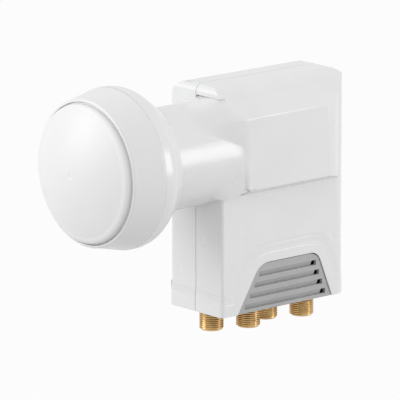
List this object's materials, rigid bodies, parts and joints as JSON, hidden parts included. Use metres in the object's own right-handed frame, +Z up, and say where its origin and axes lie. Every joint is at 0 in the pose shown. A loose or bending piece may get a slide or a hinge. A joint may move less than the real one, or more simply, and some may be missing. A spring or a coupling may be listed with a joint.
{
  "type": "satellite lnb",
  "caption": "White satellite LNB: feed horn with a domed cap on a clamp neck, slim housing with a grey ribbed weather guard that slides down over threaded F connectors.",
  "frame": {"origin": "on the feed axis, where the clamp neck meets the front face of the housing", "axes": "+Y runs back along the feed axis into the housing, +Z is up, +X is towards the side cover"},
  "size_m": [0.0624, 0.1279, 0.1027],
  "materials": {
    "white_shell": "satin moulded",
    "white_window": "satin moulded",
    "grey_guard": "matt moulded",
    "seal_rubber": "matt",
    "cast_metal": "as cast",
    "lid_metal": "satin",
    "screw_steel": "zinc plated",
    "board": "solder mask",
    "probe_brass": "bright",
    "connector_brass": "turned",
    "insulator": "matt"
  },
  "bodies": {
    "lnb": {"main_shell": "white_shell", "side_cover": "white_shell", "feed_window": "white_window", "window_seal": "seal_rubber", "feed_casting": "cast_metal", "tray_lid": "lid_metal", "lid_gasket": "seal_rubber", "lid_screws": "screw_steel", "circuit_board": "board", "upright_probe": "probe_brass", "bent_probe": "probe_brass", "upright_bush": "insulator", "bent_bush": "insulator", "reflector_rod": "probe_brass", "connector_seals": "seal_rubber", "f_connector_1": "connector_brass", "insulator_1": "insulator", "contact_1": "probe_brass", "f_connector_2": "connector_brass", "insulator_2": "insulator", "contact_2": "probe_brass", "f_connector_3": "connector_brass", "insulator_3": "insulator", "contact_3": "probe_brass", "f_connector_4": "connector_brass", "insulator_4": "insulator", "contact_4": "probe_brass"},
    "guard": {"weather_guard": "grey_guard"}
  },
  "joints": [
    {"name": "guard_slide", "type": "slide", "parent": "lnb", "child": "guard", "axis": [0, 0, -1], "range_m": [0, 0.022]}
  ]
}
